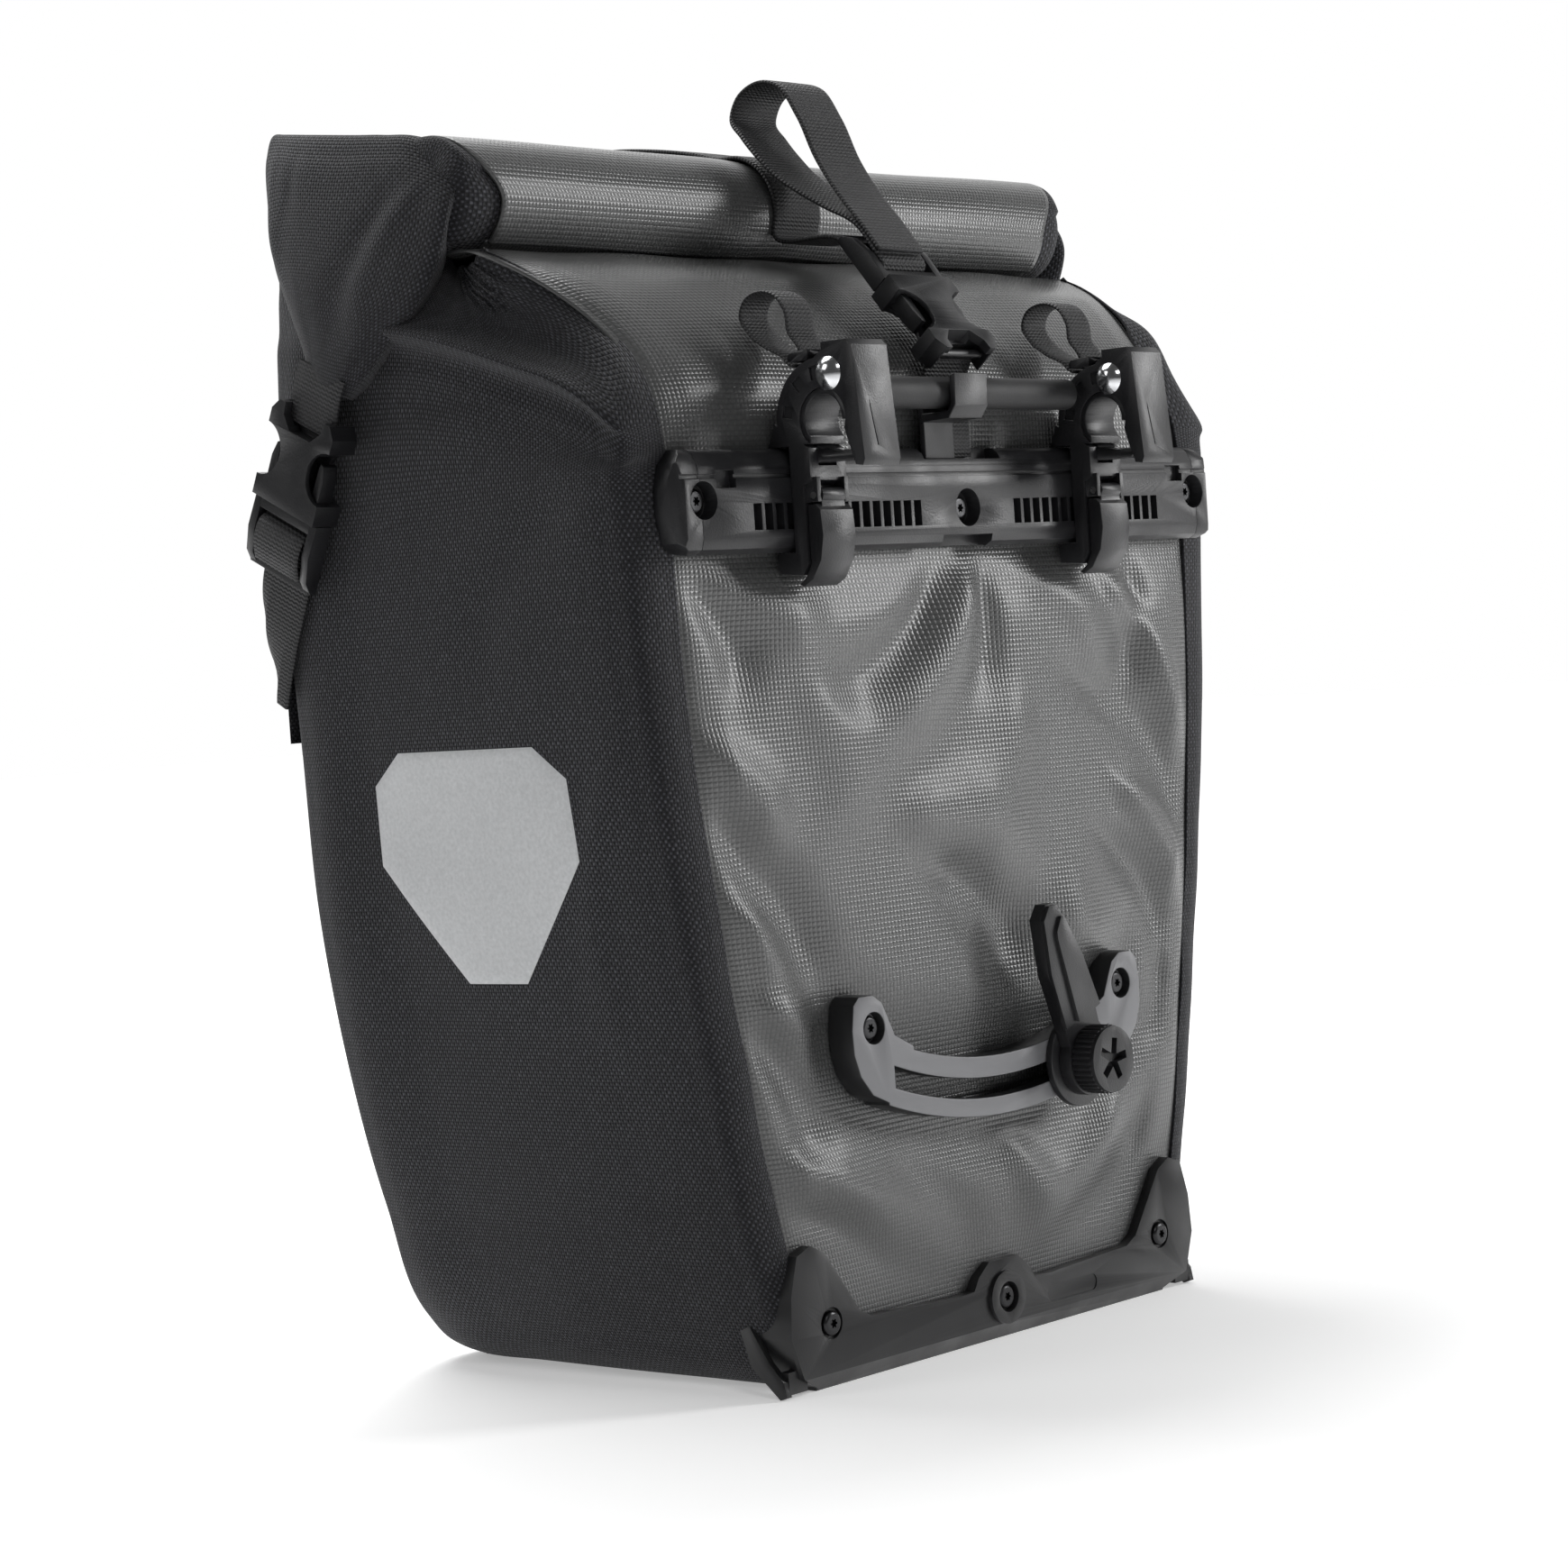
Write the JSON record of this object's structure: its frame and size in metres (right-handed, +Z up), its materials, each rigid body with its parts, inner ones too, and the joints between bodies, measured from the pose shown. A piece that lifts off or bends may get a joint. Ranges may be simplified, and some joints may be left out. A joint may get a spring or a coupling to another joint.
{
  "type": "pannier bag",
  "caption": "Roll-top bicycle pannier bag with sliding rack hooks, lift handle, swivelling lower hook, corner guard and side-release strap buckles.",
  "frame": {"origin": "on the ground plane, at the middle of the bag's base", "axes": "+Z up, +X along the mounting rail, the rack side faces -Y"},
  "size_m": [0.358, 0.2159, 0.4536],
  "materials": {
    "grey_fabric": "coated semi-gloss weave",
    "black_fabric": "matte textured weave",
    "webbing": "ribbed webbing",
    "black_plastic": "grained",
    "satin_plastic": "satin",
    "grey_plastic": "satin",
    "stiffener_plastic": "smooth",
    "reflector": "retroreflective film",
    "rubber": "matte",
    "zinc": "bright",
    "black_steel": "black oxide",
    "steel": "plain"
  },
  "bodies": {
    "bag": {"rack_panel": "grey_fabric", "outer_panel": "grey_fabric", "gusset": "black_fabric", "closure_roll": "grey_fabric", "closure_stiffener": "stiffener_plastic", "ear_left": "black_fabric", "ear_right": "black_fabric", "stiffener_plate": "stiffener_plastic", "panel_nuts": "steel", "inner_pocket": "black_fabric", "reflector_left": "reflector", "reflector_right": "reflector", "mounting_rail": "black_plastic", "rail_end_left": "black_plastic", "rail_end_right": "black_plastic", "rail_screws": "black_steel", "lower_rail": "grey_plastic", "lower_rail_screws": "black_steel", "edge_protector": "satin_plastic", "protector_screws": "black_steel", "handle_clip": "black_plastic", "top_buckle_socket": "black_plastic", "buckle_tab": "webbing", "closure_strap": "webbing", "side_socket_left": "black_plastic", "ear_strap_left": "webbing", "side_strap_left": "webbing", "strap_patch_left": "webbing", "side_socket_right": "black_plastic", "ear_strap_right": "webbing", "side_strap_right": "webbing", "strap_patch_right": "webbing"},
    "hook_left": {"hook_body_left": "black_plastic", "hook_insert_left": "black_plastic", "rivet_left": "zinc", "clamp_pin_left": "steel"},
    "hook_right": {"hook_body_right": "black_plastic", "hook_insert_right": "black_plastic", "rivet_right": "zinc", "clamp_pin_right": "steel"},
    "latch_left": {"latch_left": "black_plastic", "pull_loop_left": "webbing"},
    "latch_right": {"latch_right": "black_plastic", "pull_loop_right": "webbing"},
    "clamp_left": {"clamp_lever_left": "black_plastic"},
    "clamp_right": {"clamp_lever_right": "black_plastic"},
    "handle": {"handle_grip": "rubber", "handle_webbing": "webbing"},
    "lower_hook": {"lower_hook_slider": "black_plastic"},
    "lower_blade": {"lower_hook_blade": "black_plastic"},
    "lower_knob": {"lower_hook_knob": "black_plastic"},
    "top_plug": {"top_buckle_plug": "black_plastic", "strap_loop": "webbing"},
    "plug_left": {"side_plug_left": "black_plastic"},
    "plug_right": {"side_plug_right": "black_plastic"}
  },
  "joints": [
    {"name": "hook_slide_left", "type": "slide", "parent": "bag", "child": "hook_left", "axis": [1, 0, 0], "range_m": [-0.022, 0.002]},
    {"name": "latch_turn_left", "type": "hinge", "parent": "hook_left", "child": "latch_left", "pos_m": [-0.0835, -0.1143, 0.3365], "axis": [1, 0, 0], "range_deg": [0, 28]},
    {"name": "clamp_turn_left", "type": "hinge", "parent": "hook_left", "child": "clamp_left", "pos_m": [-0.0835, -0.1036, 0.2975], "axis": [1, 0, 0], "range_deg": [-70, 0]},
    {"name": "hook_slide_right", "type": "slide", "parent": "bag", "child": "hook_right", "axis": [1, 0, 0], "range_m": [-0.002, 0.036]},
    {"name": "latch_turn_right", "type": "hinge", "parent": "hook_right", "child": "latch_right", "pos_m": [0.069, -0.1143, 0.3365], "axis": [1, 0, 0], "range_deg": [0, 28]},
    {"name": "clamp_turn_right", "type": "hinge", "parent": "hook_right", "child": "clamp_right", "pos_m": [0.069, -0.1036, 0.2975], "axis": [1, 0, 0], "range_deg": [-70, 0]},
    {"name": "handle_lift", "type": "slide", "parent": "bag", "child": "handle", "axis": [0, 0, 1], "range_m": [0, 0.0055]},
    {"name": "lower_hook_slide", "type": "hinge", "parent": "bag", "child": "lower_hook", "pos_m": [0, -0.09, 0.2705], "axis": [0, 1, 0], "range_deg": [-4.5, 29.5]},
    {"name": "lower_blade_swivel", "type": "hinge", "parent": "lower_hook", "child": "lower_blade", "pos_m": [0.039, -0.1, 0.09478], "axis": [0, -1, 0], "continuous": true},
    {"name": "lower_knob_turn", "type": "hinge", "parent": "lower_hook", "child": "lower_knob", "pos_m": [0.039, -0.1, 0.09478], "axis": [0, -1, 0], "continuous": true},
    {"name": "top_buckle_release", "type": "slide", "parent": "bag", "child": "top_plug", "axis": [0, 0.6203, 0.7844], "range_m": [0, 0.024], "deforming": ["closure_strap"]},
    {"name": "side_buckle_release_left", "type": "slide", "parent": "bag", "child": "plug_left", "axis": [0, 0.436, -0.9], "range_m": [0, 0.024], "deforming": ["side_strap_left"]},
    {"name": "side_buckle_release_right", "type": "slide", "parent": "bag", "child": "plug_right", "axis": [0, 0.436, -0.9], "range_m": [0, 0.024], "deforming": ["side_strap_right"]}
  ],
  "couplings": [
    {"joint": "latch_turn_left", "follows": "handle_lift", "rad_per_m": 88.8},
    {"joint": "latch_turn_right", "follows": "handle_lift", "rad_per_m": 88.8}
  ]
}
